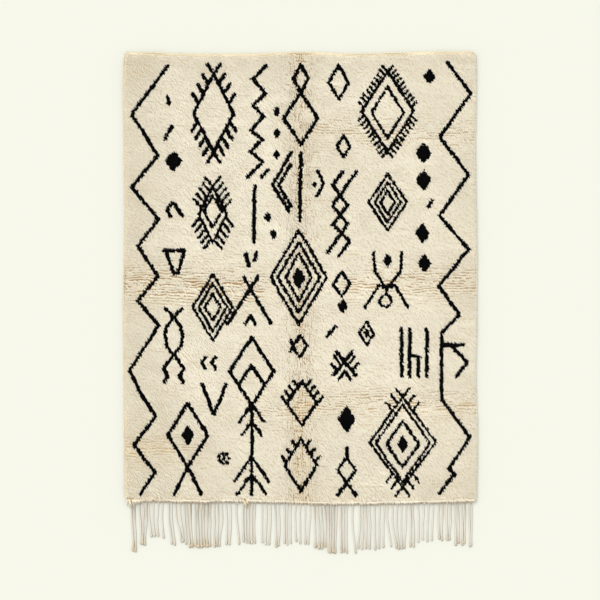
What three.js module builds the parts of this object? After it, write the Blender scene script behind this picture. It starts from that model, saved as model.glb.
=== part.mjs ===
// A hand-knotted wool pile rug lying flat, with a fringe of knotted warp ends along one end.
// Millimetres, +Z up. +Y is the plain end and -Y the fringed end. The origin is under the middle of the whole rug.
import * as THREE from "three";

// The woven body
const BODY_WIDTH = 1598;
const BODY_LENGTH = 2035;
const PILE_HEIGHT = 20;
const COLUMNS = 44;
const ROWS = 56;

// The rim: the pile rounds down from the shoulder to the edge, and the ground weave ends at the base
const SHOULDER_INSET = 20;
const EDGE_INSET = 8;
const BASE_INSET = 6;
const EDGE_HEIGHT = 14;
const LOCK_REACH = 9;
const LOCK_REACH_SPREAD = 3;
const LOCK_HEIGHT = 7;
const LOCK_LEAN = 6;

// The corners of the body, where x and y say which one it is
const CORNERS = table(["x", "y", "radius"], [
  [-1, 1, 27],
  [1, 1, 24],
  [-1, -1, 46],
  [1, -1, 30],
]);

// How far each side stands out from a straight one, at places along it from the left or from the plain end
const LEFT_SIDE = table(["at", "out"], [
  [0, -3], [110, 4], [470, 0], [790, -3], [1100, 3], [1500, 0], [2035, -2],
]);
const RIGHT_SIDE = table(["at", "out"], [
  [0, -3], [110, 0], [470, -4], [830, 1], [925, 4], [1250, 1], [1420, -3], [1730, 5], [2035, 1],
]);
const PLAIN_END = table(["at", "out"], [
  [0, 2], [80, 4], [330, -4], [520, -4], [840, 4], [1060, -4], [1215, 1], [1400, 6], [1598, 7],
]);
const FRINGED_END = table(["at", "out"], [
  [0, -4], [180, -5], [350, 0], [460, -4], [700, 0], [900, 7], [1090, 7], [1210, 4], [1400, 0], [1598, -4],
]);

// The fold marks: soft troughs between two points, measured from the middle of the body
const FOLDS = table(["fromX", "fromY", "toX", "toY", "width", "depth"], [
  [0, 1018, 3, -1018, 34, 2.6],
  [90, 655, 800, 650, 34, 1.8],
  [-800, -8, -180, -26, 46, 4.6],
  [225, -24, 800, -20, 40, 3.8],
  [25, -562, 800, -566, 44, 4.4],
  [-200, -602, 10, -590, 30, 2.2],
  [-800, -762, -460, -770, 30, 1.4],
]);
const FOLD_END_FADE = 60;

// The uneven pile: waves that cross each other, then a little more at each point
const WAVES = table(["lengthX", "lengthY", "phase", "height"], [
  [310, 540, 0.4, 0.7],
  [-190, 230, 1.9, 0.6],
  [120, -165, 4.1, 0.5],
]);
const TUFT_UNEVENNESS = 0.9;

// The fringe: warp cords on a narrow woven strip
const STRIP_GAP = 0.3;
const STRIP_DEPTH = 9;
const CORD_WIDTH = 7;
const CORD_HEIGHT = 5.5;
const CORD_TOP_SHARE = 0.55;
const KNOT_WIDTH = 9;
const KNOT_HEIGHT = 8;
const CORD_SWAY = 3.5;
const CORD_SWAY_WAVE = 210;
const CORD_LENGTH_SPREAD = 6;

// Places along a cord as shares of its length, with how much of a cord or knot its section is
const CORD_STATIONS = table(["share", "knot", "size"], [
  [0, 0, 1], [0.2, 0, 1], [0.4, 0, 1], [0.6, 0, 1], [0.8, 0, 1], [0.92, 0, 0.95], [0.955, 1, 1], [1, 1, 0.6],
]);

// Neighbouring cords lie in bunches. Roots and tips are places from the left side, and length is from the strip.
const BUNCHES = table(["rootFrom", "rootTo", "cords", "tipFrom", "tipTo", "length"], [
  [38, 52, 2, 45, 57, 216],
  [76, 108, 3, 80, 100, 186],
  [121, 140, 2, 129, 143, 158],
  [161, 180, 2, 159, 186, 156],
  [207, 221, 2, 220, 233, 190],
  [239, 275, 3, 262, 286, 180],
  [290, 306, 2, 300, 313, 198],
  [328, 397, 6, 331, 394, 194],
  [414, 447, 3, 414, 435, 198],
  [466, 485, 2, 467, 483, 188],
  [512, 512, 1, 524, 524, 192],
  [543, 597, 5, 545, 597, 178],
  [629, 665, 3, 629, 660, 181],
  [687, 705, 2, 692, 703, 190],
  [728, 759, 3, 728, 757, 181],
  [782, 845, 4, 782, 840, 173],
  [865, 912, 4, 870, 914, 192],
  [926, 965, 4, 926, 959, 214],
  [985, 1013, 3, 985, 1010, 214],
  [1037, 1037, 1, 1048, 1048, 221],
  [1068, 1112, 4, 1063, 1114, 195],
  [1135, 1159, 2, 1138, 1156, 199],
  [1180, 1196, 2, 1177, 1211, 190],
  [1218, 1278, 4, 1234, 1270, 198],
  [1295, 1308, 2, 1298, 1311, 194],
  [1332, 1402, 4, 1332, 1394, 169],
  [1427, 1479, 4, 1425, 1476, 162],
  [1497, 1542, 4, 1501, 1541, 185],
  [1562, 1576, 2, 1562, 1574, 195],
]);

const CREAM_WOOL = new THREE.MeshStandardMaterial({ color: "#ebe1cf", roughness: 1, metalness: 0 });
const WARP_COTTON = new THREE.MeshStandardMaterial({ color: "#d3ccbd", roughness: 1, metalness: 0 });

// Rows with the same named columns.
function table(names, rows) {
  return rows.map((row) => Object.fromEntries(names.map((name, i) => [name, row[i]])));
}

// A smooth step from 0 at 0 to 1 at 1, held beyond both.
function ease(share) {
  const t = Math.min(Math.max(share, 0), 1);
  return t * t * (3 - 2 * t);
}

function mix(from, to, share) {
  return from + (to - from) * share;
}

// A number from -1 to 1 that looks random and is the same each time for the same key.
function uneven(key) {
  const wave = Math.sin(key * 12.9898 + 4.1414) * 43758.5453;
  return 2 * (wave - Math.floor(wave)) - 1;
}

// How far out a side stands at a place along it.
function sideOut(side, at) {
  const next = side.findIndex((row) => row.at >= at);
  if (next <= 0) {
    return side[next < 0 ? side.length - 1 : 0].out;
  }
  const from = side[next - 1];
  const to = side[next];
  return mix(from.out, to.out, ease((at - from.at) / (to.at - from.at)));
}

// Turns the square corner of a rectangle into a round one, as a square is mapped to a disc.
function roundCorner(x, y) {
  const corner = CORNERS.find((row) => row.x === Math.sign(x) && row.y === Math.sign(y));
  if (!corner) {
    return [x, y];
  }
  const middleX = BODY_WIDTH / 2 - corner.radius;
  const middleY = BODY_LENGTH / 2 - corner.radius;
  const a = (Math.abs(x) - middleX) / corner.radius;
  const b = (Math.abs(y) - middleY) / corner.radius;
  if (a <= 0 || b <= 0) {
    return [x, y];
  }
  return [
    corner.x * (middleX + corner.radius * a * Math.sqrt(1 - (b * b) / 2)),
    corner.y * (middleY + corner.radius * b * Math.sqrt(1 - (a * a) / 2)),
  ];
}

// Moves a point of the straight rectangle to its place in the uneven outline.
function place(x, y) {
  const [roundX, roundY] = roundCorner(x, y);
  const across = (x + BODY_WIDTH / 2) / BODY_WIDTH;
  const down = (BODY_LENGTH / 2 - y) / BODY_LENGTH;
  const left = sideOut(LEFT_SIDE, down * BODY_LENGTH);
  const right = sideOut(RIGHT_SIDE, down * BODY_LENGTH);
  const plain = sideOut(PLAIN_END, across * BODY_WIDTH);
  const fringed = sideOut(FRINGED_END, across * BODY_WIDTH);
  return [roundX + mix(-left, right, across), roundY + mix(plain, -fringed, down)];
}

// How deep the fold marks are at a point: each is a bell across its line that fades out past its ends.
function foldDepth(x, y) {
  let depth = 0;
  for (const fold of FOLDS) {
    const alongX = fold.toX - fold.fromX;
    const alongY = fold.toY - fold.fromY;
    const length = Math.hypot(alongX, alongY);
    const along = ((x - fold.fromX) * alongX + (y - fold.fromY) * alongY) / length;
    const off = ((x - fold.fromX) * alongY - (y - fold.fromY) * alongX) / length;
    const past = Math.max(-along, along - length, 0);
    const fade = 1 - ease(past / FOLD_END_FADE);
    depth = Math.max(depth, fold.depth * fade * Math.exp(-((off / fold.width) ** 2)));
  }
  return depth;
}

// The height of the pile over a point.
function pileTop(x, y, key) {
  let height = PILE_HEIGHT - foldDepth(x, y) + TUFT_UNEVENNESS * uneven(key);
  for (const wave of WAVES) {
    height += wave.height * Math.sin(2 * Math.PI * (x / wave.lengthX + y / wave.lengthY) + wave.phase);
  }
  return height;
}

// Grid lines across a span: one at each edge, then even ones between the shoulders.
function gridLines(span, count) {
  const half = span / 2;
  const lines = [-half + EDGE_INSET];
  for (let i = 0; i <= count; i += 1) {
    lines.push(mix(-half + SHOULDER_INSET, half - SHOULDER_INSET, i / count));
  }
  lines.push(half - EDGE_INSET);
  return lines;
}

// Collects points and faces and gives them as a geometry.
class Faces {
  constructor() {
    this.points = [];
    this.faces = [];
  }

  point(x, y, z) {
    this.points.push(x, y, z);
    return this.points.length / 3 - 1;
  }

  triangle(a, b, c) {
    this.faces.push(a, b, c);
  }

  // A four-sided face with its corners in order, cut one way or the other
  quad(a, b, c, d, otherWay = false) {
    if (otherWay) {
      this.triangle(a, b, d);
      this.triangle(b, c, d);
    } else {
      this.triangle(a, b, c);
      this.triangle(a, c, d);
    }
  }

  geometry() {
    const geometry = new THREE.BufferGeometry();
    geometry.setAttribute("position", new THREE.Float32BufferAttribute(this.points, 3));
    geometry.setIndex(this.faces);
    geometry.computeVertexNormals();
    return geometry;
  }
}

// The border of the grid in order from the fringed left corner, round to the right, with the side each edge is on.
function borderCells() {
  const lastColumn = COLUMNS + 2;
  const lastRow = ROWS + 2;
  const cells = [];
  for (let i = 0; i < lastColumn; i += 1) {
    cells.push({ column: i, row: 0, side: "fringed" });
  }
  for (let j = 0; j < lastRow; j += 1) {
    cells.push({ column: lastColumn, row: j, side: "right" });
  }
  for (let i = lastColumn; i > 0; i -= 1) {
    cells.push({ column: i, row: lastRow, side: "plain" });
  }
  for (let j = lastRow; j > 0; j -= 1) {
    cells.push({ column: 0, row: j, side: "left" });
  }
  return cells;
}

const COLUMN_LINES = gridLines(BODY_WIDTH, COLUMNS);
const ROW_LINES = gridLines(BODY_LENGTH, ROWS);

// The foot of the body under a border point: the edge of the ground weave.
function basePoint({ column, row }) {
  const reach = EDGE_INSET - BASE_INSET;
  let x = COLUMN_LINES[column];
  let y = ROW_LINES[row];
  if (column === 0 || column === COLUMN_LINES.length - 1) {
    x += reach * Math.sign(x);
  }
  if (row === 0 || row === ROW_LINES.length - 1) {
    y += reach * Math.sign(y);
  }
  return place(x, y);
}

// The top of the body: a grid over the whole outline that drops a little at its border.
function addPile(faces) {
  const grid = COLUMN_LINES.map((x, i) => ROW_LINES.map((y, j) => {
    const onBorder = i === 0 || j === 0 || i === COLUMN_LINES.length - 1 || j === ROW_LINES.length - 1;
    const height = pileTop(x, y, i * ROW_LINES.length + j);
    const [placeX, placeY] = place(x, y);
    return faces.point(placeX, placeY, onBorder ? height - PILE_HEIGHT + EDGE_HEIGHT : height);
  }));
  for (let i = 0; i < COLUMN_LINES.length - 1; i += 1) {
    for (let j = 0; j < ROW_LINES.length - 1; j += 1) {
      const corners = [grid[i][j], grid[i + 1][j], grid[i + 1][j + 1], grid[i][j + 1]];
      faces.quad(...corners, (i + j) % 2 === 1);
    }
  }
  return grid;
}

// The wall between the pile and the base. Each stretch of a pile edge is one lock that points outwards.
function addRim(faces, cells, tops, bases) {
  const outward = { right: [1, 0], plain: [0, 1], left: [-1, 0] };
  cells.forEach((cell, n) => {
    const next = (n + 1) % cells.length;
    const [topA, topB, baseA, baseB] = [tops[n], tops[next], bases[n], bases[next]];
    if (cell.side === "fringed") {
      faces.quad(baseA, baseB, topB, topA);
      return;
    }
    const [outX, outY] = outward[cell.side];
    const start = faces.points.slice(baseA * 3, baseA * 3 + 2);
    const end = faces.points.slice(baseB * 3, baseB * 3 + 2);
    const length = Math.hypot(end[0] - start[0], end[1] - start[1]);
    const reach = Math.min(LOCK_REACH + LOCK_REACH_SPREAD * uneven(n), length / 2);
    const lean = Math.min(LOCK_LEAN, length / 4) * uneven(n + 500);
    const tip = faces.point(
      mix(start[0], end[0], 0.5) + outX * reach + outY * lean,
      mix(start[1], end[1], 0.5) + outY * reach + outX * lean,
      LOCK_HEIGHT + 2 * uneven(n + 900),
    );
    faces.triangle(baseA, baseB, tip);
    faces.triangle(baseB, topB, tip);
    faces.triangle(topB, topA, tip);
    faces.triangle(topA, baseA, tip);
  });
}

// The flat underside: strips from side to side, and a fan at each end.
function addUnderside(faces, bases) {
  const across = COLUMNS + 2;
  const up = ROWS + 2;
  const left = (j) => bases[j === 0 ? 0 : bases.length - j];
  const right = (j) => bases[across + j];
  for (let i = 0; i < across; i += 1) {
    faces.triangle(left(1), bases[i + 1], bases[i]);
    faces.triangle(left(up - 1), bases[across + up + i + 1], bases[across + up + i]);
  }
  faces.triangle(left(1), right(1), right(0));
  faces.triangle(left(up - 1), right(up), right(up - 1));
  for (let j = 1; j < up - 1; j += 1) {
    faces.quad(left(j), left(j + 1), right(j + 1), right(j));
  }
}

function bodyGeometry() {
  const faces = new Faces();
  const cells = borderCells();
  const grid = addPile(faces);
  const tops = cells.map((cell) => grid[cell.column][cell.row]);
  const bases = cells.map((cell) => faces.point(...basePoint(cell), 0));
  addRim(faces, cells, tops, bases);
  addUnderside(faces, bases);
  return faces.geometry();
}

// The back of the fringe's strip: the foot of the body's fringed end, a hair's gap away.
function stripBack() {
  const points = [];
  for (let column = 1; column < COLUMN_LINES.length - 1; column += 1) {
    const [x, y] = basePoint({ column, row: 0 });
    points.push([x, y - STRIP_GAP]);
  }
  return points;
}

// The height along Y of a line of points at one place along X.
function lineAt(points, x) {
  const next = Math.min(Math.max(points.findIndex((point) => point[0] >= x), 1), points.length - 1);
  const [from, to] = [points[next - 1], points[next]];
  return mix(from[1], to[1], (x - from[0]) / (to[0] - from[0]));
}

// One row for each cord, from the left: its root, its tip and its length.
function cordRows() {
  const rows = [];
  for (const bunch of BUNCHES) {
    for (let k = 0; k < bunch.cords; k += 1) {
      const share = bunch.cords > 1 ? k / (bunch.cords - 1) : 0;
      rows.push({
        root: mix(bunch.rootFrom, bunch.rootTo, share) - BODY_WIDTH / 2,
        tip: mix(bunch.tipFrom, bunch.tipTo, share) - BODY_WIDTH / 2,
        length: bunch.length + CORD_LENGTH_SPREAD * uneven(rows.length + 40),
      });
    }
  }
  return rows;
}

// The middle of a cord across the rug, at a share of its length: it eases from root to tip, and sways with its neighbours.
function cordMiddle(cord, share) {
  const sway = CORD_SWAY * Math.sin(Math.PI * share) * Math.sin((2 * Math.PI * cord.root) / CORD_SWAY_WAVE);
  return mix(cord.root, cord.tip, ease(share)) + sway;
}

// Four points of a cord's section: a flat foot on the floor and a narrower top.
function cordSection(faces, x, y, width, height) {
  const half = width / 2;
  const top = half * CORD_TOP_SHARE;
  return [
    faces.point(x - half, y, 0),
    faces.point(x + half, y, 0),
    faces.point(x + top, y, height),
    faces.point(x - top, y, height),
  ];
}

// One cord from the strip to its knotted tip. Returns its root section, whose face is left open for the strip.
function addCord(faces, cord, rootY) {
  const sections = CORD_STATIONS.map((station) => cordSection(
    faces,
    cordMiddle(cord, station.share),
    rootY - cord.length * station.share,
    mix(CORD_WIDTH, KNOT_WIDTH, station.knot) * station.size,
    mix(CORD_HEIGHT, KNOT_HEIGHT, station.knot) * station.size,
  ));
  for (let n = 1; n < sections.length; n += 1) {
    const [from, to] = [sections[n - 1], sections[n]];
    for (let k = 0; k < from.length; k += 1) {
      const next = (k + 1) % from.length;
      faces.quad(from[k], from[next], to[next], to[k]);
    }
  }
  const last = sections[sections.length - 1];
  faces.quad(last[0], last[1], last[2], last[3]);
  return sections[0];
}

// Fills between two lines of points that both run along X, the first one on the -Y side.
function addBand(faces, near, far, facesDown) {
  const at = (point) => faces.points[point * 3];
  let n = 0;
  let f = 0;
  while (n < near.length - 1 || f < far.length - 1) {
    const stepNear = f === far.length - 1 || (n < near.length - 1 && at(near[n + 1]) <= at(far[f + 1]));
    const third = stepNear ? near[n + 1] : far[f + 1];
    if (facesDown) {
      faces.triangle(near[n], far[f], third);
    } else {
      faces.triangle(near[n], third, far[f]);
    }
    if (stepNear) {
      n += 1;
    } else {
      f += 1;
    }
  }
}

function fringeGeometry() {
  const faces = new Faces();
  const back = stripBack();
  const frontAt = (x) => lineAt(back, x) - STRIP_DEPTH;
  const backLow = back.map(([x, y]) => faces.point(x, y, 0));
  const backHigh = back.map(([x, y]) => faces.point(x, y, CORD_HEIGHT));
  const [first, last] = [back[0], back[back.length - 1]];
  const frontLow = [faces.point(first[0], frontAt(first[0]), 0)];
  const frontHigh = [faces.point(first[0], frontAt(first[0]), CORD_HEIGHT)];
  for (const cord of cordRows()) {
    const root = addCord(faces, cord, frontAt(cord.root));
    frontLow.push(root[0], root[1]);
    frontHigh.push(root[3], root[2]);
  }
  frontLow.push(faces.point(last[0], frontAt(last[0]), 0));
  frontHigh.push(faces.point(last[0], frontAt(last[0]), CORD_HEIGHT));
  addBand(faces, frontHigh, backHigh, false);
  addBand(faces, frontLow, backLow, true);
  for (let n = 0; n < frontLow.length - 1; n += 2) {
    faces.quad(frontLow[n], frontLow[n + 1], frontHigh[n + 1], frontHigh[n]);
  }
  for (let n = 0; n < backLow.length - 1; n += 1) {
    faces.quad(backLow[n + 1], backLow[n], backHigh[n], backHigh[n + 1]);
  }
  const end = frontLow.length - 1;
  faces.quad(backLow[0], frontLow[0], frontHigh[0], backHigh[0]);
  faces.quad(frontLow[end], backLow.at(-1), backHigh.at(-1), frontHigh[end]);
  return faces.geometry();
}

function piece(name, geometry, material) {
  const mesh = new THREE.Mesh(geometry, material);
  mesh.name = name;
  return mesh;
}

const rug = new THREE.Group();
rug.add(piece("rug_body", bodyGeometry(), CREAM_WOOL));
rug.add(piece("fringe", fringeGeometry(), WARP_COTTON));

// The origin goes under the middle of body and fringe together
const reach = new THREE.Box3().setFromObject(rug);
rug.position.set(-(reach.min.x + reach.max.x) / 2, -(reach.min.y + reach.max.y) / 2, -reach.min.z);

export default rug;
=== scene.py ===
"""Builds a cream hand-knotted wool rug with black line motifs and a knotted fringe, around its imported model.

Named values are in millimetres on the rug, with x to the right and y towards the plain end, from the middle
of the pile. The motifs are charted in steps of CHART_STEP. What the panel shows, the stage's values and the
pieces themselves, which stand in the frame, are in metres.
"""

import math

import bpy
import numpy as np
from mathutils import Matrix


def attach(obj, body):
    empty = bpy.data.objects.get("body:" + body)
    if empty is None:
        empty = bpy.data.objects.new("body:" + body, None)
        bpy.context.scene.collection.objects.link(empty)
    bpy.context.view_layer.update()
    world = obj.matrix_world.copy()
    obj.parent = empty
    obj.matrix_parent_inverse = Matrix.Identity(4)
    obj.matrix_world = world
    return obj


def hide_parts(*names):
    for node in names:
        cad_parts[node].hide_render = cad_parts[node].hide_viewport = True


bl_info = {
    "name": "Knotted Wool Rug",
    "version": (1, 0, 0),
    "blender": (4, 5, 0),
    "location": "3D View > Sidebar > Rug",
    "description": "Builds a hand-knotted pile rug with line motifs and a knotted fringe",
    "category": "Add Mesh",
}

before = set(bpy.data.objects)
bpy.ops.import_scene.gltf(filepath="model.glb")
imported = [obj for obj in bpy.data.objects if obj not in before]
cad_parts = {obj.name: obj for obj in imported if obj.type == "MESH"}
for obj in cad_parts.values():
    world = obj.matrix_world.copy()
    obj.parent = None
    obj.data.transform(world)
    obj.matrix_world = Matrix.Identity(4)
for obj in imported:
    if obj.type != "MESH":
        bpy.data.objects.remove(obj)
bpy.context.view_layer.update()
MM = 0.001


def table(columns, *rows):
    """The rows of a table, as values by the names of its columns."""
    return [dict(zip(columns, row)) for row in rows]


# Where the middle of the pile lies in the frame, the pile's size, and how far inside it the ground ends.
PILE_MIDDLE = (-0.6, 107.7)
BODY_WIDTH = 1598.0
BODY_LENGTH = 2035.0
PILE_HEIGHT = 20.0
SIDE_INSET = 8.0
FRINGED_INSET = 14.0

# The outline: each corner's side in x and in y with its radius, and how far each side bulges outwards at
# places along it, which start at the plain end or at the left.
CORNERS = [(-1, 1, 27), (1, 1, 24), (-1, -1, 46), (1, -1, 30)]
LEFT_SIDE = [(0, -3), (110, 4), (470, 0), (790, -3), (1100, 3), (1500, 0), (2035, -2)]
RIGHT_SIDE = [(0, -3), (110, 0), (470, -4), (830, 1), (925, 4), (1250, 1), (1420, -3), (1730, 5), (2035, 1)]
PLAIN_END = [(0, 2), (80, 4), (330, -4), (520, -4), (840, 4), (1060, -4), (1215, 1), (1400, 6), (1598, 7)]
FRINGED_END = [(0, -4), (180, -5), (350, 0), (460, -4), (700, 0), (900, 7), (1090, 7), (1210, 4),
               (1400, 0), (1598, -4)]

# The folds: each line's ends, its trough's width and depth, and how far the pile is opened, 0 to 1, and how
# widely. Three long waves lie over the whole rug, each with its lengths in x and y, phase and height.
FOLDS = table(
    ("from_x", "from_y", "to_x", "to_y", "width", "depth", "opened", "opened_width"),
    (0, 1000, 3, -985, 34, 2.6, 1.0, 64),
    (90, 655, 800, 650, 34, 1.8, 0.5, 60),
    (-800, -26, -180, -44, 46, 4.6, 1.0, 74),
    (225, -24, 800, -20, 40, 3.8, 0.75, 70),
    (25, -562, 800, -566, 44, 4.4, 0.7, 56),
    (-200, -602, 10, -590, 30, 2.2, 0.6, 50),
    (-800, -762, -460, -770, 30, 1.4, 0.4, 60))
FOLD_END_FADE = 60.0
WAVES = [(310, 540, 0.4, 0.7), (-190, 230, 1.9, 0.6), (120, -165, 4.1, 0.5)]

# The fringe's cords by bunch, with places from the left side, and how aged their ends are, 0 to 1. Then how
# deep in the strip they start, their sway, unevenness and form, and how far neighbours draw together.
BUNCHES = table(
    ("root_from", "root_to", "cords", "tip_from", "tip_to", "length", "aged"),
    (38, 52, 2, 45, 57, 216, 0.7), (76, 108, 3, 80, 100, 186, 0.5), (121, 140, 2, 129, 143, 158, 0.2),
    (161, 180, 2, 159, 186, 156, 0.1), (207, 221, 2, 220, 233, 190, 0.1),
    (239, 275, 3, 262, 286, 180, 0.2), (290, 306, 2, 300, 313, 198, 0.9),
    (328, 397, 6, 331, 394, 194, 0.8), (414, 447, 3, 414, 435, 198, 0.4),
    (466, 485, 2, 467, 483, 188, 0.2), (512, 512, 1, 524, 524, 192, 0.1),
    (543, 597, 5, 545, 597, 178, 0.2), (629, 665, 3, 629, 660, 181, 0.1),
    (687, 705, 2, 692, 703, 190, 0.4), (728, 759, 3, 728, 757, 181, 0.1),
    (782, 845, 4, 782, 840, 173, 0.2), (865, 912, 4, 870, 914, 192, 0.7),
    (926, 965, 4, 926, 959, 214, 0.6), (985, 1013, 3, 985, 1010, 214, 0.4),
    (1037, 1037, 1, 1048, 1048, 221, 0.1), (1068, 1112, 4, 1063, 1114, 195, 0.3),
    (1135, 1159, 2, 1138, 1156, 199, 0.1), (1180, 1196, 2, 1177, 1211, 190, 0.1),
    (1218, 1278, 4, 1234, 1270, 198, 0.4), (1295, 1308, 2, 1298, 1311, 194, 0.2),
    (1332, 1402, 4, 1332, 1394, 169, 0.1), (1427, 1479, 4, 1425, 1476, 162, 0.3),
    (1497, 1542, 4, 1501, 1541, 185, 0.5), (1562, 1576, 2, 1562, 1574, 195, 0.3))
CORD_ROOT = 5.0
CORD_SWAY = 3.5
CORD_SWAY_WAVE = 210.0
CORD_LENGTH_SPREAD = 6.0
CORD_FLATNESS = 0.7
CORD_STATIONS = 58
PAIR_GATHER = 3.2
KNOT_FROM_TIP = 7.5
KNOT_SPREAD = 3.4
KNOT_SWELLING = 0.5
PLY_OUTLINE = (1.0, 0.9, 0.66, 0.9, 1.0, 0.9, 0.66, 0.9)

# The strip that the cords leave, deeper than the solid's so that it shows past the tips of the pile.
# Its dark brown-grey is partly the strip's own warp and partly painted shadow along the pile's edge.
STRIP_GAP = 0.3
STRIP_DEPTH = 18.0
STRIP_HEIGHT = 7.0
STRIP_END_INSET = 26.0
STRIP_STATIONS = 420

# The knots: two cut ends to a knot, in rows tied across the rug, on a ground that is lower at its edge and
# sags by a share of what the pile's top does in the folds.
KNOT_PITCH = 8.0
ROW_PITCH = 11.4
KNOTS = round((BODY_WIDTH - 2 * SIDE_INSET) / KNOT_PITCH)
ROWS = round((BODY_LENGTH - SIDE_INSET - FRINGED_INSET) / ROW_PITCH)
GROUND_HEIGHT = 13.0
GROUND_EDGE_HEIGHT = 6.0
GROUND_SAG = 0.6
BANDS = 5
SEED = 11

# The locks of pile: where a knot's two lie from its middle as shares of a pitch, the share of a lock's lean
# that shows, how far it leans and which way in degrees, its bend as shares of its lean and height, its size,
# how far a fold along the rug parts two, and how far out the last rows are pushed, in rows. SHADES are the
# ends of the values that colour them.
LOCK_OFFSETS = np.array([-0.25, 0.25])
LOCK_SHOWN = 0.6
LOCK_REACH = 14.0
LEAN_ANGLE = -67.0
BEND_OUT = 0.34
BEND_UP = 0.8
LOCK_HALF_WIDTH = 4.2
LOCK_FLATNESS = 0.62
LOCK_PARTING = 4.8
LAST_ROWS_OUT = 0.5
SHADES = (0.02, 0.98)

# The rim, where locks turn outwards, and the tufts that hang over the fringe: the left corner's long locks
# and a small browned tuft.
RIM_WIDTH = 9.0
RIM_REACH = 10.0
RIM_PITCH = 4.0
# RIM_SHADE: the rim locks' shade value; with root colour on the rims that face the lamp it gives their painted
# shade.
RIM_SHADE = 0.9
FLAPS = table(("x", "half_width", "reach", "aged"), (-770, 26, 34, 0.0), (-252, 10, 28, 0.6))

# The chart of the motifs: one step, where its middle lies, and the usual stroke's width in steps. As shares
# of a stroke's width, how far its open ends are drawn in, and how deep the barbs of its edge are.
CHART_STEP = 4.5
CHART_MIDDLE_Y = -1.8
LINE = 3.8
END_DRAW_IN = 0.4
BARB = 0.04

# The materials: where along a yarn its middle and end colours set in, how often fibres streak round it and
# along it, the scale of the ground's mottling, and the places of a mix node's sockets that blend colours.
YARN_STEPS = ((0.0, 0.36), (0.5, 1.0))
FIBRE_SPREAD = (340, 3.5, 1)
TUFT_NOISE = 160.0
MIX_SHARE = 0
MIX_START = 6
MIX_END = 7
MIX_RESULT = 2

# The shares of the ground's map that its top and its walls take.
MAP_HALF = 0.49
MAP_TALL = 0.96
MAP_WALL = 0.03

# The stage: the floor just under the rug and the camera straight above, in metres, the faintly warm light
# from all round, and the lamp's turn about each axis and its softness, in degrees.
FLOOR_LEVEL = -0.0002
CAMERA_HEIGHT = 8.0
VIEW_WIDTH = 2.7
VIEW_Y = 0.0058
SKY_COLOUR = (1.0, 1.0, 0.97)
LAMP_TILT = (-30, -22, 0)
LAMP_ANGLE = 35


def ease(share):
    """Runs from 0 to 1 as share does, level at both ends: 3 share squared less 2 share cubed."""
    share = np.clip(share, 0, 1)
    return share * share * (3 - 2 * share)


def ramp(value, start, stop):
    """Runs evenly from 0 to 1 as value does from start to stop."""
    return np.clip((value - start) / (stop - start), 0, 1)


def mix(start, end, share):
    """The value that lies that share of the way from start to end."""
    return start + (end - start) * share


def chance(i, j, key):
    """An even spread of values from -1 to 1: the part of a large sine of i, j and key behind its point."""
    wave = np.sin(i * 12.9898 + j * 78.233 + key * 37.719 + 4.1414) * 43758.5453
    return 2 * (wave - np.floor(wave)) - 1


def drift(x, y, wide, tall, key):
    """Smooth unevenness from -1 to 1: chance at the corners of cells wide by tall, eased in between.

    Each key gives unevenness of its own.
    """
    u = x / wide
    v = y / tall
    i = np.floor(u)
    j = np.floor(v)
    s = ease(u - i)
    low = mix(chance(i, j, key), chance(i + 1, j, key), s)
    high = mix(chance(i, j + 1, key), chance(i + 1, j + 1, key), s)
    return mix(low, high, ease(v - j))


def side_out(side, at):
    """How far a side bulges outwards at a place along it, eased from row to row of its table."""
    places, outs = np.array(side, float).T
    step = np.clip(np.searchsorted(places, at) - 1, 0, len(places) - 2)
    share = ease((at - places[step]) / (places[step + 1] - places[step]))
    return mix(outs[step], outs[step + 1], share)


def place(x, y):
    """Moves points of the plain rectangle to the rug's outline.

    Each corner square becomes a quarter disc: with its radius as 1, x is multiplied by the root of 1 less
    half of y squared, and y likewise. Then each side's bulge is added by how near the side is.
    """
    new_x = np.array(x, float)
    new_y = np.array(y, float)
    for side_x, side_y, radius in CORNERS:
        middle_x = BODY_WIDTH / 2 - radius
        middle_y = BODY_LENGTH / 2 - radius
        a = (x * side_x - middle_x) / radius
        b = (y * side_y - middle_y) / radius
        inside = (a > 0) & (b > 0)
        round_x = side_x * (middle_x + radius * a * np.sqrt(np.maximum(1 - b * b / 2, 0)))
        round_y = side_y * (middle_y + radius * b * np.sqrt(np.maximum(1 - a * a / 2, 0)))
        new_x = np.where(inside, round_x, new_x)
        new_y = np.where(inside, round_y, new_y)
    across = (x + BODY_WIDTH / 2) / BODY_WIDTH
    down = (BODY_LENGTH / 2 - y) / BODY_LENGTH
    left = side_out(LEFT_SIDE, down * BODY_LENGTH)
    right = side_out(RIGHT_SIDE, down * BODY_LENGTH)
    plain = side_out(PLAIN_END, across * BODY_WIDTH)
    fringed = side_out(FRINGED_END, across * BODY_WIDTH)
    return new_x + mix(-left, right, across), new_y + mix(plain, -fringed, down)


def fold_share(fold, x, y, width):
    """How much of a fold is felt at a point: a bell curve across its line, faded past its ends."""
    along_x = fold["to_x"] - fold["from_x"]
    along_y = fold["to_y"] - fold["from_y"]
    length = math.hypot(along_x, along_y)
    along = ((x - fold["from_x"]) * along_x + (y - fold["from_y"]) * along_y) / length
    off = ((x - fold["from_x"]) * along_y - (y - fold["from_y"]) * along_x) / length
    past = np.maximum(np.maximum(-along, along - length), 0)
    return (1 - ease(past / FOLD_END_FADE)) * np.exp(-((off / fold[width]) ** 2))


def sag(x, y):
    """How far the rug's top lies below its full height: the deepest fold there, and three long waves."""
    depth = np.max([fold["depth"] * fold_share(fold, x, y, "width") for fold in FOLDS], axis=0)
    for wave_x, wave_y, phase, height in WAVES:
        depth = depth - height * np.sin(2 * np.pi * (x / wave_x + y / wave_y) + phase)
    return depth


def openings(x, y):
    """How far the pile is opened crosswise and lengthwise by the folds that run those ways, 0 to 1."""
    crosswise = [fold for fold in FOLDS if abs(fold["to_x"] - fold["from_x"]) > 100]
    lengthwise = [fold for fold in FOLDS if fold not in crosswise]
    return [np.max([fold["opened"] * fold_share(fold, x, y, "opened_width") for fold in group], axis=0)
            for group in (crosswise, lengthwise)]


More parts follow.
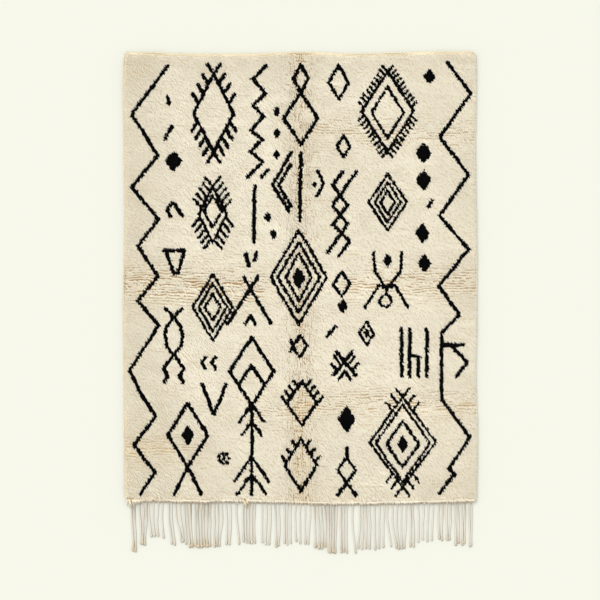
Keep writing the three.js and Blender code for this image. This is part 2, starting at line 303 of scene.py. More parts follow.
class Chart:
    """The black motifs, as strokes with a width and filled shapes, in chart steps."""

    def __init__(self):
        self.segments = []
        self.shapes = []

    def stroke(self, *points, wide=LINE):
        """A line of knots through the points, drawn in at both ends, by under half a short stroke."""
        points = [np.array(point, float) for point in points]
        for end, beside in ((0, 1), (-1, -2)):
            inwards = points[beside] - points[end]
            points[end] = points[end] + inwards * min(END_DRAW_IN * wide / np.hypot(*inwards), 0.45)
        for start, stop in zip(points, points[1:]):
            self.segments.append((*start, *stop, wide))

    def ring(self, *points, wide=LINE):
        """A line of knots through the points and back to the first."""
        for start, stop in zip(points, (*points[1:], points[0])):
            self.segments.append((*start, *stop, wide))

    def lozenge(self, x, y, half_wide, half_high, wide=LINE):
        """A regular lozenge round its middle."""
        self.ring((x, y + half_high), (x - half_wide, y), (x, y - half_high), (x + half_wide, y),
                  wide=wide)

    def nested(self, x, y, *halves, wide=LINE):
        """Regular lozenges round one middle, each given by its half width and half height."""
        for half_wide, half_high in halves:
            self.lozenge(x, y, half_wide, half_high, wide)

    def combed(self, x, y, half_wide, half_high, upper, lower, tooth, wide=LINE):
        """A regular lozenge with even teeth, at the given shares of its upper and of its lower edges."""
        self.lozenge(x, y, half_wide, half_high, wide)
        for up, shares in ((1, upper), (-1, lower)):
            for share in shares:
                for side in (-1, 1):
                    foot_x = x + side * half_wide * share
                    foot_y = y + up * half_high * (1 - share)
                    tip = (foot_x + side * tooth[0], foot_y + up * tooth[1])
                    self.stroke((foot_x, foot_y), tip, wide=wide)

    def filled(self, x, y, half_wide, half_high, power=1.15):
        """A filled lozenge, or a round spot where power is 2."""
        self.shapes.append((x, y, half_wide, half_high, power))

    def black(self, x, y, barb=0.0):
        """True where a knot at x and y, in millimetres, is black: within half a stroke's width of its line.

        barb is the share of its width by which a stroke is fuller there on each side.
        """
        u = x / CHART_STEP
        v = (y - CHART_MIDDLE_Y) / CHART_STEP
        black = np.zeros(u.shape, bool)
        for start_x, start_y, end_x, end_y, wide in self.segments:
            along_x = end_x - start_x
            along_y = end_y - start_y
            off_x = u - start_x
            off_y = v - start_y
            share = (off_x * along_x + off_y * along_y) / (along_x ** 2 + along_y ** 2)
            share = np.clip(share, 0, 1)
            black |= np.hypot(off_x - share * along_x, off_y - share * along_y) < wide * (0.5 + barb)
        for middle_x, middle_y, half_wide, half_high, power in self.shapes:
            reach = np.abs((u - middle_x) / half_wide) ** power
            reach = reach + np.abs((v - middle_y) / half_high) ** power
            black |= reach < 1
        return black


def chart_borders(chart):
    """The zigzags down both sides."""
    chart.stroke((-131, 213), (-145, 194), (-168, 163), (-142, 122), (-168, 90), (-141, 58), (-162, 31),
                 (-142, 1), (-162, -24), (-141, -48), (-170, -93), (-158, -118), (-144, -139), (-166, -168),
                 (-145, -195), (-160, -218))
    chart.stroke((147, 216), (171, 184), (140, 140), (169, 103), (140, 62), (169, 28), (139, -9), (160, -37),
                 (142, -56), (142, -122), (170, -160), (149, -192), (155, -197), (139, -217))
    chart.stroke((142, -68), (165, -67))
    chart.stroke((151, -68), (168, -85), (156, -100))


def chart_left(chart):
    """The small figures beside the left zigzag."""
    chart.stroke((-133, 182), (-130, 172))
    chart.stroke((-127, 153), (-135, 137))
    chart.filled(-126, 116, 9, 10)
    chart.stroke((-128, 60), (-133, 67), (-127, 75), (-116, 60))
    chart.stroke((-137, 27), (-114, 27))
    chart.stroke((-134, 27), (-126, 4), (-122, 4), (-115, 27))
    braid = [(9, -30), (0, -40), (-7, -49), (-9, -58), (-7, -69), (0, -78), (10, -91), (6, -99), (10, -106)]
    for side in (-1, 1):
        chart.stroke(*[(-126 + side * out, y) for out, y in braid])
    for x in (-93, -83):
        chart.stroke((x, -79), (x - 5, -85), (x - 1, -92))
    chart.stroke((-98, -106), (-86, -137), (-73, -106))
    chart.lozenge(-112, -158, 20, 32)
    chart.stroke((-126, -218), (-112, -190), (-98, -218))
    chart.filled(-112, -158, 6.5, 10)
    for turn in range(7):
        angle = 2 * math.pi * turn / 7
        chart.filled(-76 + 5 * math.cos(angle), -181 + 5 * math.sin(angle), 2, 2, 2)
    chart.filled(-76, -181, 2, 2, 2)


def chart_left_lozenges(chart):
    """The comb-edged and nested lozenges of the second column."""
    chart.combed(-86, 164, 20, 39, (0, 0.25, 0.5, 0.75), (0, 0.2, 0.4, 0.6, 0.8), (7, 11))
    chart.combed(-87, 63, 14, 28, (0, 0.2, 0.4, 0.6, 0.8), (0.1, 0.3, 0.5, 0.7, 0.9), (8, 10), wide=3)
    chart.lozenge(-87, 66, 9, 16, wide=3)
    chart.nested(-87, -30, (20, 33), (14, 24), (8, 13), wide=3)


def chart_tree(chart):
    """The zigzag, chevrons, crossed figure, and the arrow lozenge on its branched stem."""
    chart.stroke((-33, 213), (-47, 198), (-34, 184), (-47, 172), (-36, 161), (-49, 147), (-37, 138),
                 (-49, 126), (-37, 115), (-54, 99))
    chart.stroke((-31, 109), (-39, 99))
    for y in (166, 144, 123):
        chart.filled(-23, y, 3.5, 5, 1.4)
    chart.stroke((-8, 126), (-27, 92), (-10, 65))
    chart.stroke((-8, 114), (-21, 92), (-8, 70))
    chart.stroke((-45, 93), (-46, 33))
    chart.filled(-32, 60, 3.5, 5, 1.5)
    chart.filled(-26, 43, 3.5, 5, 1.5)
    chart.stroke((-54, 24), (-50, 10), wide=5)
    chart.stroke((-43, 26), (-45, 16), wide=4.4)
    chart.stroke((-57, 1), (-28, -47))
    chart.stroke((-41, 2), (-73, -48))
    chart.stroke((-55, -48), (-49, -38), (-44, -48))
    chart.lozenge(-48, -94, 22, 34)
    chart.stroke((-62, -109), (-48, -88), (-34, -109))
    chart.stroke((-48, -128), (-48, -219))
    for stem_y, out, drop in ((-126, 13, 20), (-144, 11, 15), (-180, 18, 25), (-197, 15, 21)):
        chart.stroke((-48 - out, stem_y - drop), (-48, stem_y), (-48 + out, stem_y - drop), wide=3.4)


def chart_centre(chart):
    """The lozenges down the middle."""
    chart.lozenge(1, 199, 7.5, 14)
    chart.lozenge(1, 159, 17, 26)
    chart.stroke((1, 125), (0, 55))
    chart.nested(-1, 0, (28, 47), (21, 35), (13, 24), wide=3.2)
    chart.filled(-1, -1, 6.5, 11)
    chart.lozenge(0, -69, 7, 11, wide=3.4)
    chart.stroke((-10, -62), (-7, -69), (-10, -76), wide=3.4)
    chart.combed(2, -126, 15, 22, (0.25, 0.5, 0.75, 1), (), (6, 7), wide=3.5)
    chart.combed(1, -188, 16, 26, (0.3, 0.6, 0.9), (), (5, 7), wide=3.5)


def chart_chain(chart):
    """The column right of the middle: lozenges, a chain, crossed strokes and a loop."""
    chart.lozenge(39, 195, 10, 17, wide=3.3)
    chart.lozenge(44, 131, 6.5, 11, wide=3.3)
    chart.stroke((17, 108), (24, 94), (17, 80), wide=3.3)
    chart.filled(15, 93, 2.6, 2.8, 2)
    chart.stroke((44, 107), (33, 92), (48, 72), (33, 53), (50, 36), (38, 20))
    chart.stroke((58, 107), (33, 72), (48, 53), (27, 24))
    chart.lozenge(42, -7, 8.5, 12, wide=3.3)
    chart.filled(43, -29, 5, 7.5)
    chart.stroke((37, -48), (26, -61))
    for side in (-1, 1):
        chart.stroke((45 + side * 9, -73), (45 - side * 12, -99))
        chart.stroke((45 + side * 11, -78), (45 + side * 4, -87), wide=3.2)
        chart.stroke((45 + side * 14, -85), (45 + side * 8, -93), wide=3.2)
    chart.stroke((38, -103), (45, -94), (52, -103))
    chart.filled(47, -142, 9, 13.5)
    chart.stroke((47, -169), (47, -180))
    chart.lozenge(47, -193, 9, 13, wide=3.3)
    chart.stroke((37, -219), (47, -206), (57, -219))


def chart_right(chart):
    """The right-hand lozenges, the winged figure, and the bars and spots beside the right zigzag."""
    teeth = np.arange(10) / 10
    chart.combed(88, 166, 26, 40, teeth, teeth, (6, 6), wide=3)
    chart.lozenge(88, 165, 16, 26, wide=3)
    chart.nested(88, 75, (19, 28), (13, 20), (7, 12), wide=3)

    for side in (-1, 1):
        chart.stroke((88 + side * 14, 26), (88 + side * 13, 6), (87, -11), wide=3.3)
        chart.stroke((87, -11), (87 + side * 8, -8), (87 + side * 22, -31), wide=3.3)
    chart.stroke((87, -11), (87, -18), wide=3.2)
    angles = np.linspace(0, 5.5, 8)
    chart.ring(*[(86 + 6 * math.cos(angle), -24 + 6 * math.sin(angle)) for angle in angles], wide=2.9)
    chart.filled(88, 17, 4.4, 6.4, 1.4)
    chart.lozenge(67, -56, 7.5, 11.5, wide=2.9)
    chart.filled(67, -56, 2.8, 4.8, 1.6)

    teeth = (0, 0.15, 0.3)
    chart.combed(103, -165, 33, 45, teeth, teeth, (7, 9), wide=2.8)
    chart.lozenge(103, -166, 27, 39, wide=2.8)
    chart.lozenge(103, -167, 16, 23, wide=3.2)
    chart.filled(103, -167, 5.5, 9)

    for spot in ((130, 201, 6, 8), (124, 124, 8, 10.5), (124, 97, 8, 10.5), (123, 44, 7, 10),
                 (125, 14, 7, 9)):
        chart.filled(*spot)
    chart.stroke((133, 78), (128, 69))
    for x in (102, 110, 127):
        chart.stroke((x, -50), (x, -101), wide=4)
    chart.stroke((110, -79), (119, -79), (119, -101), wide=4)


def charted():
    """The whole chart."""
    chart = Chart()
    for part in (chart_borders, chart_left, chart_left_lozenges, chart_tree, chart_centre, chart_chain,
                 chart_right):
        part(chart)
    return chart


def linear(code):
    """A colour for a shader from an sRGB hex value."""
    values = [int(code[i:i + 2], 16) / 255 for i in (1, 3, 5)]
    return [v / 12.92 if v <= 0.04045 else ((v + 0.055) / 1.055) ** 2.4 for v in values]


def opaque(colour):
    """A colour with full cover, as a shader's socket takes it."""
    return (*colour, 1.0)


def add_node(tree, kind, inputs=None, **settings):
    """Adds a node, sets its fields, and gives each named input a value or a link from a socket."""
    node = tree.nodes.new(kind)
    for field, value in settings.items():
        setattr(node, field, value)
    for name, value in (inputs or {}).items():
        if isinstance(value, bpy.types.NodeSocket):
            tree.links.new(value, node.inputs[name])
        else:
            node.inputs[name].default_value = value
    return node


def new_material(name, specular, roughness=0.95):
    """A node material with its output and a matt shader, and that shader."""
    material = bpy.data.materials.new(name)
    material.use_nodes = True
    tree = material.node_tree
    tree.nodes.clear()
    shader = add_node(tree, "ShaderNodeBsdfPrincipled", {"Roughness": roughness,
                                                         "Specular IOR Level": specular})
    add_node(tree, "ShaderNodeOutputMaterial", {"Surface": shader.outputs["BSDF"]})
    return material, shader


def mesh_value(tree, name):
    """A socket for a value that the mesh carries."""
    return add_node(tree, "ShaderNodeAttribute", attribute_name=name).outputs["Fac"]


def blend(tree, share, start, end):
    """A socket for the colour that lies that share of the way from start to end."""
    inputs = {MIX_SHARE: share, MIX_START: start, MIX_END: end}
    return add_node(tree, "ShaderNodeMix", inputs, data_type="RGBA").outputs[MIX_RESULT]


def ranged(tree, value, start, stop, low=0.0, high=1.0, **settings):
    """A socket that runs from low to high as the value does from start to stop."""
    inputs = {"Value": value, "From Min": start, "From Max": stop, "To Min": low, "To Max": high}
    return add_node(tree, "ShaderNodeMapRange", inputs, **settings).outputs[0]


def worked_out(tree, operation, *values):
    """A socket for one operation on sockets."""
    return add_node(tree, "ShaderNodeMath", dict(enumerate(values)), operation=operation).outputs[0]


def noise(tree, spot, scale):
    """A socket for smooth noise at a spot."""
    return add_node(tree, "ShaderNodeTexNoise", {"Vector": spot, "Scale": scale, "Detail": 2.0}).outputs[0]


def cover(tree, shader, colour, height, strength, depth):
    """Gives the shader its colour, and relief from a height, as deep as depth in metres."""
    bump = add_node(tree, "ShaderNodeBump", {"Height": height, "Strength": strength, "Distance": depth})
    tree.links.new(colour, shader.inputs["Base Color"])
    tree.links.new(bump.outputs[0], shader.inputs["Normal"])


def yarn_material(name, root, middle, end, sheen, specular):
    """Wool or warp yarn, coloured from its root to its cut end, and streaked with fibres along it.

    The point value share runs from 0 at the root to 1 at the cut end. The point value fibre is the yarn's
    shade from 0, aged, by 0.5, dull, to 1, clean: on the pile it carries painted shade as well as the wool's
    own tone, and it differs a little round the yarn, so that fine noise over it draws fibres that run along
    the yarn. root, middle and end are each three such colours.
    """
    material, shader = new_material(name, specular)
    tree = material.node_tree
    share = mesh_value(tree, "share")
    fibre = mesh_value(tree, "fibre")
    to_dull, to_clean = [ranged(tree, fibre, start, start + 0.5) for start in (0.0, 0.5)]
    colours = []
    for aged, dull, clean in (root, middle, end):
        duller = blend(tree, to_dull, opaque(aged), opaque(dull))
        colours.append(blend(tree, to_clean, duller, opaque(clean)))
    to_middle, to_end = [ranged(tree, share, start, stop, interpolation_type="SMOOTHSTEP")
                         for start, stop in YARN_STEPS]
    colour = blend(tree, to_end, blend(tree, to_middle, colours[0], colours[1]), colours[2])
    spot = add_node(tree, "ShaderNodeCombineXYZ", {0: fibre, 1: share}).outputs[0]
    spread = add_node(tree, "ShaderNodeMapping", {"Vector": spot, "Scale": FIBRE_SPREAD}).outputs[0]
    streaks = noise(tree, spread, 1.0)
    shade = ranged(tree, streaks, 0.3, 0.7, low=0.9, high=1.06)
    fibres = add_node(tree, "ShaderNodeVectorMath", {0: colour, "Scale": shade},
                      operation="SCALE").outputs[0]
    cover(tree, shader, fibres, streaks, strength=0.35, depth=0.0006)
    shader.inputs["Sheen Weight"].default_value = sheen
    shader.inputs["Sheen Roughness"].default_value = 0.55
    return material


def cream_wool(pile):
    """Undyed sheep's wool, handspun and cut: matt cream ends on a yellower, shaded root."""
    return yarn_material(
        "undyed_handspun_wool",
        root=(pile.aged_and_shaded_root_colour, pile.dull_and_shaded_root_colour, pile.root_colour),
        middle=(pile.beige_colour, pile.dull_and_shaded_colour, pile.cream_colour),
        end=(pile.beige_end_colour, pile.dull_and_shaded_end_colour, pile.cream_end_colour), sheen=0.12, specular=0.15)


def black_wool(pile):
    """Naturally black sheep's wool, handspun and cut: it takes nearly all light, even on its cut ends."""
    # dark, half the black, is painted shade at the roots and, for low shade values, along the lock.
    dark = [value * 0.5 for value in pile.black_colour]
    black = [dark, pile.black_colour, pile.black_colour]
    return yarn_material("black_handspun_wool", root=[dark] * 3, middle=black, end=black, sheen=0.0,
                         specular=0.03)


def warp_yarn(fringe):
    """Twisted undyed warp, greyer than the pile as its hard twist shades itself, with duller ends."""
    cord = fringe.cord_colour
    return yarn_material("twisted_warp_yarn", root=(fringe.strip_colour, cord, cord), middle=[cord] * 3,
                         end=(fringe.aged_colour, fringe.knot_colour, cord), sheen=0.06, specular=0.15)


def woven_ground(pile):
    """Weft-faced wool ground: rows of knot backs, cream or black with the motifs, a bead to each knot."""
    material, shader = new_material("woven_wool_ground", specular=0.15)
    tree = material.node_tree
    spot = add_node(tree, "ShaderNodeTexCoord").outputs["Object"]
    colour = opaque(pile.root_colour)
    # Root colour mottled with beige, painted darker with the aged root colour where the folds open the pile,
    # as painted shade in those gaps, and black under the motifs.
    for share, next_colour in ((noise(tree, spot, TUFT_NOISE), pile.beige_colour),
                               (mesh_value(tree, "opened"), pile.aged_and_shaded_root_colour),
                               (mesh_value(tree, "motif"), pile.black_colour)):
        colour = blend(tree, share, colour, opaque(next_colour))
    turns = [math.pi / (pitch * MM) for pitch in (KNOT_PITCH, ROW_PITCH)]
    beads = add_node(tree, "ShaderNodeMapping", {"Vector": spot, "Scale": (*turns, 0)}).outputs[0]
    parts = add_node(tree, "ShaderNodeSeparateXYZ", {0: beads}).outputs
    waves = [worked_out(tree, "ABSOLUTE", worked_out(tree, "SINE", parts[axis])) for axis in (0, 1)]
    cover(tree, shader, colour, worked_out(tree, "MULTIPLY", *waves), strength=0.8, depth=0.0015)
    return material


def make_piece(name, points, quads, triangles, material, point_values=None, face_values=None,
               corner_map=None):
    """Puts arrays into a smooth mesh: points in rug millimetres, faces, values, and the map to bake to.

    Without a map of its own, a piece is mapped by its point values: fibre across and share upwards.
    """
    mesh = bpy.data.meshes.new(name)
    middle = np.array([*PILE_MIDDLE, 0.0])
    corners = np.concatenate([quads.ravel(), triangles.ravel()]).astype(np.int32)
    starts = np.concatenate([np.arange(len(quads)) * 4, quads.size + np.arange(len(triangles)) * 3])
    mesh.vertices.add(len(points))
    mesh.vertices.foreach_set("co", ((points + middle) * MM).astype(np.float32).ravel())
    mesh.loops.add(len(corners))
    mesh.loops.foreach_set("vertex_index", corners)
    mesh.polygons.add(len(starts))
    mesh.polygons.foreach_set("loop_start", starts.astype(np.int32))
    mesh.polygons.foreach_set("use_smooth", np.ones(len(starts), bool))
    mesh.update(calc_edges=True)
    for domain, values in (("POINT", point_values or {}), ("FACE", face_values or {})):
        for value_name, array in values.items():
            attribute = mesh.attributes.new(value_name, "FLOAT", domain)
            attribute.data.foreach_set("value", array.astype(np.float32).ravel())
    bake_map = mesh.uv_layers.new(name="OFBake")
    if corner_map is None:
        corner_map = np.stack([point_values["fibre"].ravel(), point_values["share"].ravel()], -1)[corners]
    bake_map.uv.foreach_set("vector", corner_map.astype(np.float32).ravel())
    mesh.materials.append(material)
    piece = bpy.data.objects.new(name, mesh)
    bpy.context.scene.collection.objects.link(piece)
    return piece


def grid_place(across, down):
    """Rug millimetres of a point given as shares of the tied ground, from its left side and plain end."""
    x = -BODY_WIDTH / 2 + SIDE_INSET + across * (BODY_WIDTH - 2 * SIDE_INSET)
    y = BODY_LENGTH / 2 - SIDE_INSET - down * (BODY_LENGTH - SIDE_INSET - FRINGED_INSET)
    return place(x, y)


def rim_share(across, down):
    """Two shares, 0 inside and 1 at the edge: towards the sides, minus at the left, and the plain end."""
    side = (0.5 - np.abs(across - 0.5)) * BODY_WIDTH
    plain = down * BODY_LENGTH
    to_side = (1 - ease(side / RIM_WIDTH)) * np.sign(across - 0.5)
    return to_side, 1 - ease(plain / RIM_WIDTH)


def ground_top(x, y, across, down):
    """Height of the woven ground under the pile, lower in the folds and at the rim."""
    to_side, to_plain = rim_share(across, down)
    rim = np.maximum(np.abs(to_side), to_plain)
    return mix(GROUND_HEIGHT, GROUND_EDGE_HEIGHT, rim) - GROUND_SAG * sag(x, y) * (1 - rim)


def make_ground(pile, chart):
    """The woven ground: a closed sheet on a grid with one cell to a knot, flat below and folded above.

    Its map has the top on the left, the underside on the right, and the walls in a low band at the foot.
    """
    across, down = np.meshgrid(np.linspace(0, 1, KNOTS + 1), np.linspace(0, 1, ROWS + 1))
    x, y = grid_place(across, down)
    points = np.concatenate([np.stack([x, y, height], -1).reshape(-1, 3)
                             for height in (ground_top(x, y, across, down), np.zeros_like(x))])
    index = np.arange(x.size).reshape(x.shape)
    cells = np.stack([index[:-1, :-1], index[1:, :-1], index[1:, 1:], index[:-1, 1:]], -1).reshape(-1, 4)
    under = cells[:, ::-1]
    edge = np.concatenate([index[:-1, 0], index[-1, :-1], index[:0:-1, -1], index[0, :0:-1]])
    after = np.roll(edge, -1)
    walls = np.stack([edge + x.size, after + x.size, after, edge], -1)

    flat = np.stack([across.ravel() * MAP_HALF, 1 - down.ravel() * MAP_TALL], -1)
    start = np.arange(len(edge)) / len(edge)
    stop = start + 1 / len(edge)
    foot = np.zeros(len(edge))
    head = foot + MAP_WALL
    wall_map = np.stack([start, foot, stop, foot, stop, head, start, head], -1)
    parts = (flat[cells], (flat + (1 - MAP_HALF, 0))[under], wall_map)

    middle = points[cells].mean(1)
    black = chart.black(middle[:, 0], middle[:, 1]).astype(float)
    # How far the folds open the pile over each cell: the ground's material paints shade there.
    opened = np.max(openings(middle[:, 0], middle[:, 1]), axis=0)
    bare = np.zeros(len(walls))
    return make_piece(
        "ground_weave", points, np.concatenate([cells, under + x.size, walls]), np.zeros((0, 3), int),
        woven_ground(pile), corner_map=np.concatenate([part.reshape(-1, 2) for part in parts]),
        face_values={"motif": np.concatenate([black, black, bare]),
                     "opened": np.concatenate([opened, np.zeros_like(opened), bare])})


def unit(vectors):
    """The vectors at length 1."""
    return vectors / np.maximum(np.linalg.norm(vectors, axis=-1, keepdims=True), 1e-9)


def lock_arrays(root, lean, height, half_wide, shade):
    """Points and values of bent three-sided locks of cut yarn, seven points to a lock.

    A ring of three round the root, a ring of three at the bend, which lies BEND_OUT of the lean out and
    BEND_UP of the height up, and the cut end at the full lean and height. A ring's points lie at 90, 210
    and 330 degrees round the lock's own axis, so that one edge is its ridge. The point values differ a
    little round a ring, which draws the fibres and gives each face room on the map.
    """
    count = len(root)
    up = np.array([0.0, 0.0, 1.0])
    flat_lean = np.concatenate([lean, np.zeros((count, 1))], 1)
    bend = root + flat_lean * BEND_OUT + up * (height * BEND_UP)[:, None]
    tip = root + flat_lean + up * height[:, None]
    axis = unit(tip - root)
    side = unit(np.stack([-lean[:, 1], lean[:, 0], np.zeros(count)], 1))
    crown = np.cross(axis, side)
    angles = np.radians([90, 210, 330])
    around = side[:, None] * np.cos(angles)[None, :, None] * half_wide[:, None, None]
    half_tall = half_wide * LOCK_FLATNESS
    around = around + crown[:, None] * np.sin(angles)[None, :, None] * half_tall[:, None, None]
    points = np.concatenate([root[:, None] + around * 0.9, bend[:, None] + around, tip[:, None]], 1)
    share = np.array([0.0, 0.02, 0.01, 0.62, 0.6, 0.61, 1.0])
    spread = np.array([0.0, -1.0, 1.0, 0.0, -1.0, 1.0, 0.2]) * 0.007
    fibre = np.clip(shade, *SHADES)[:, None] + spread
    return points, fibre, np.broadcast_to(share, fibre.shape)


LOCK_SIDES = np.array([(0, 1, 4, 3), (1, 2, 5, 4), (2, 0, 3, 5)])
LOCK_ENDS = np.array([(3, 4, 6), (4, 5, 6), (5, 3, 6), (0, 2, 1)])


def make_locks(name, locks, material):
    """One joined mesh of locks."""
    points, fibre, share = locks
    first = (np.arange(len(points)) * points.shape[1])[:, None, None]
    quads = (LOCK_SIDES[None] + first).reshape(-1, 4)
    triangles = (LOCK_ENDS[None] + first).reshape(-1, 3)
    return make_piece(name, points.reshape(-1, 3), quads, triangles, material,
                      point_values={"fibre": fibre, "share": share})


def gaps(column, row):
    """How far the folds open the gap below a knot's row and the gap between its two locks, 0 to 1.

    A fold across the rug opens rows and one along it opens columns, both in uneven stretches.
    """
    x, y = grid_place((column + 0.5) / KNOTS, (row + 0.5) / ROWS)
    crosswise, lengthwise = openings(x, y)
    by_row = drift(x, row, 46, 1, 3) + 0.7 * drift(x, row, 20, 1, 4) + 0.5
    by_column = 1.6 * drift(column, y, 1, 30, 5) + 0.3
    return [(np.sqrt(opening) * np.clip(uneven, 0, 1))[..., None]
            for opening, uneven in ((crosswise, by_row), (lengthwise, by_column))]


def lock_places(random, column, row, row_gap):
    """Where each knot's two locks are tied, as shares across the ground and down it.

    They lie side by side and about half a row apart, or less in a fold across the rug. Slow waves,
    stronger in the folds, and a little chance move the knots off their lines. The last rows are pushed
    outwards.
    """
    x, y = grid_place((column + 0.5) / KNOTS, (row + 0.5) / ROWS)
    crosswise, lengthwise = openings(x, y)
    waves = 0.4 * drift(x, y, 110, 60, 41) + 0.3 * drift(x, y, 36, 24, 42)
    waves = waves + 0.5 * crosswise * drift(x, y, 30, 30, 44)
    side_waves = 0.8 * lengthwise * drift(x, y, 30, 26, 43)
    jitter = random.uniform(-0.2, 0.2, (ROWS, 1)) + random.uniform(-0.12, 0.12, x.shape)
    strays = 0.14 * random.standard_normal(x.shape)[..., None]
    across = (column + 0.5 + jitter * (1 - 0.8 * lengthwise) + side_waves)[..., None] + LOCK_OFFSETS
    apart = mix(0.95, 0.6, np.clip(1.6 * crosswise, 0, 1))[..., None] * LOCK_OFFSETS
    down = (row + 0.5 + waves)[..., None] + (apart + strays) * (1 - 0.7 * row_gap)
    down = down + LAST_ROWS_OUT * ease((down - ROWS + 4) / 4)
    return np.clip(across / KNOTS, 0.001, 0.999), np.clip(down / ROWS, 0.001, 0.999)


def at_flaps(x, last, column):
    """A column of the tufts' table at the last row's locks, by a bell curve across each tuft."""
    return sum(last * np.exp(-(((x - flap["x"]) / flap["half_width"]) ** 2)) * flap[column]
               for flap in FLAPS)


def lock_leans(random, x, y, last, row_gap, lock_gap):
    """How far each lock leans in x and in y, and its length as a share of the usual one.

    Locks lean towards the fringe, turned by slow drift and a little chance, and straight down the rug in
    a fold along it, whose gaps part a knot's two locks. They lean less in a fold's gaps, and further over
    the fringe in the last row, most in its tufts.
    """
    turn = LEAN_ANGLE - 23 * openings(x, y)[1] + 18 * drift(x, y, 60, 75, 1)
    angle = np.radians(turn + 9 * random.standard_normal(x.shape))
    length = random.uniform(0.8, 1.15, x.shape)
    reach = LOCK_REACH * length * (1 - 0.55 * row_gap) * (1 - 0.3 * lock_gap)
    reach = reach + (18 * length - 13) * last + at_flaps(x, last, "reach")
    lean_x = reach * np.cos(angle) + np.sign(LOCK_OFFSETS) * LOCK_PARTING * lock_gap
    return lean_x, reach * np.sin(angle), length


def painted_edge_shade(x, y, lengthwise):
    """Painted shade, 0 to 1.8: the pile darker towards the sides, most at the left, and towards both ends."""
    edge_shade = ramp(np.abs(x), 520, 800) + 0.5 * ramp(-x, 460, 660) + ramp(-y, 430, 1050)
    edge_shade = edge_shade + 1.1 * ramp(y, 860, 1000) * (1 - lengthwise)
    return np.minimum(edge_shade + 0.6 * ramp(-y, 480, 630) * ramp(-x, 200, 350), 1.8)


def lock_shades(random, x, y, last, rim, row_gap, lock_gap, knot_shade):
    """Each lock's shade from aged to clean: uneven by knot, by lock and slowly over the rug.

    Painted shade makes it darker towards the sides and ends, in the folds and their gaps, and in the last row,
    where one tuft is also browned wool.
    """
    crosswise, lengthwise = openings(x, y)
    shade = 0.88 + 0.06 * knot_shade + 0.07 * random.uniform(-1, 1, x.shape)
    shade = shade + 0.1 * drift(x, y, 150, 190, 21) + 0.07 * drift(x, y, 35, 28, 22)
    # Painted shade in the folds, stronger in those along the rug, none at the rim.
    fold_painted_shade = (0.16 * crosswise + 0.32 * lengthwise) * (1 - rim)
    # Painted shade: darker towards the edges and in the gaps that the folds open.
    shade = shade - 0.2 * painted_edge_shade(x, y, lengthwise) - fold_painted_shade - 0.16 * row_gap - 0.14 * lock_gap
    # The last row is painted darker, shade at the pile's edge; the small tuft's aged value is its own browned
    # wool.
    return shade - 0.1 * last - at_flaps(x, last, "aged")


def pile_locks(chart):
    """Every lock of the pile, row by row from the plain end, and whether it is black.

    A lock is black where the part of it that shows lies on a motif. A stroke is a little fuller for a
    knot's right lock, which barbs its edges, and black locks lean less far and stand higher. At the rim
    the locks turn outwards and lie low. There they have the colour of cut ends, or, on the left side and
    at the plain end, which face the lamp, the darker colour of roots: painted shade that tones down their
    light.
    """
    random = np.random.default_rng(SEED)
    column, row = np.meshgrid(np.arange(KNOTS), np.arange(ROWS))
    row_gap, lock_gap = gaps(column, row)
    across, down = lock_places(random, column, row, row_gap)
    knot_shade = random.uniform(-1, 1, row.shape)[..., None]
    x, y = grid_place(across, down)
    last = (row == ROWS - 1)[..., None]
    lean_x, lean_y, length = lock_leans(random, x, y, last, row_gap, lock_gap)
    to_side, to_plain = rim_share(across, down)
    rim = np.maximum(np.abs(to_side), to_plain)
    out = unit(np.stack([to_side, to_plain], -1)) * RIM_REACH
    lean_x = mix(lean_x, out[..., 0], rim)
    lean_y = mix(lean_y, out[..., 1] - 3 * np.abs(to_side), rim)

    row_y = grid_place(across, np.broadcast_to(((row + 0.5) / ROWS)[..., None], across.shape))[1]
    motif_y = mix(y, row_y, 0.25) + random.uniform(-0.6, 0.6, x.shape)
    stray = random.uniform(-1.8, 1.8, (ROWS, 1, 1)) + random.uniform(-0.6, 0.6, x.shape)
    barb = BARB * np.sign(LOCK_OFFSETS)
    black = chart.black(x + LOCK_SHOWN * lean_x + stray, motif_y + LOCK_SHOWN * lean_y, barb)
    lean = np.stack([lean_x, lean_y], -1) * (1 - 0.15 * black)[..., None]

    ground = ground_top(x, y, across, down)
    top = PILE_HEIGHT - 0.8 - sag(x, y) + 0.5 * random.standard_normal(x.shape) + 1.5 * (0.9 - length)
    height = mix(top - ground, 6 + 1.5 * random.standard_normal(x.shape), rim)
    height = height - 1.2 * row_gap - 1.5 * lock_gap + 0.9 * black * (1 - rim)

    # The rims that face the lamp, on the left side and at the plain end, take root colour below: painted shade
    # that tones down their light.
    painted_shade_rim = np.maximum(np.maximum(-to_side, to_plain), 0)
    shade = lock_shades(random, x, y, last, rim, row_gap, lock_gap, knot_shade)
    shade = mix(shade, RIM_SHADE, painted_shade_rim)
    root = np.stack([x, y, ground - 1], -1).reshape(-1, 3)
    half_wide = LOCK_HALF_WIDTH * (1 + 0.1 * random.standard_normal(x.size))
    points, fibre, share = lock_arrays(root, lean.reshape(-1, 2), height.ravel() + 1, half_wide,
                                       shade.ravel())
    share = mix(share, 0.9 + 0.1 * share, rim.reshape(-1, 1))
    share = mix(share, 0.1 * share, painted_shade_rim.reshape(-1, 1))
    return (points, fibre, share), black.ravel()


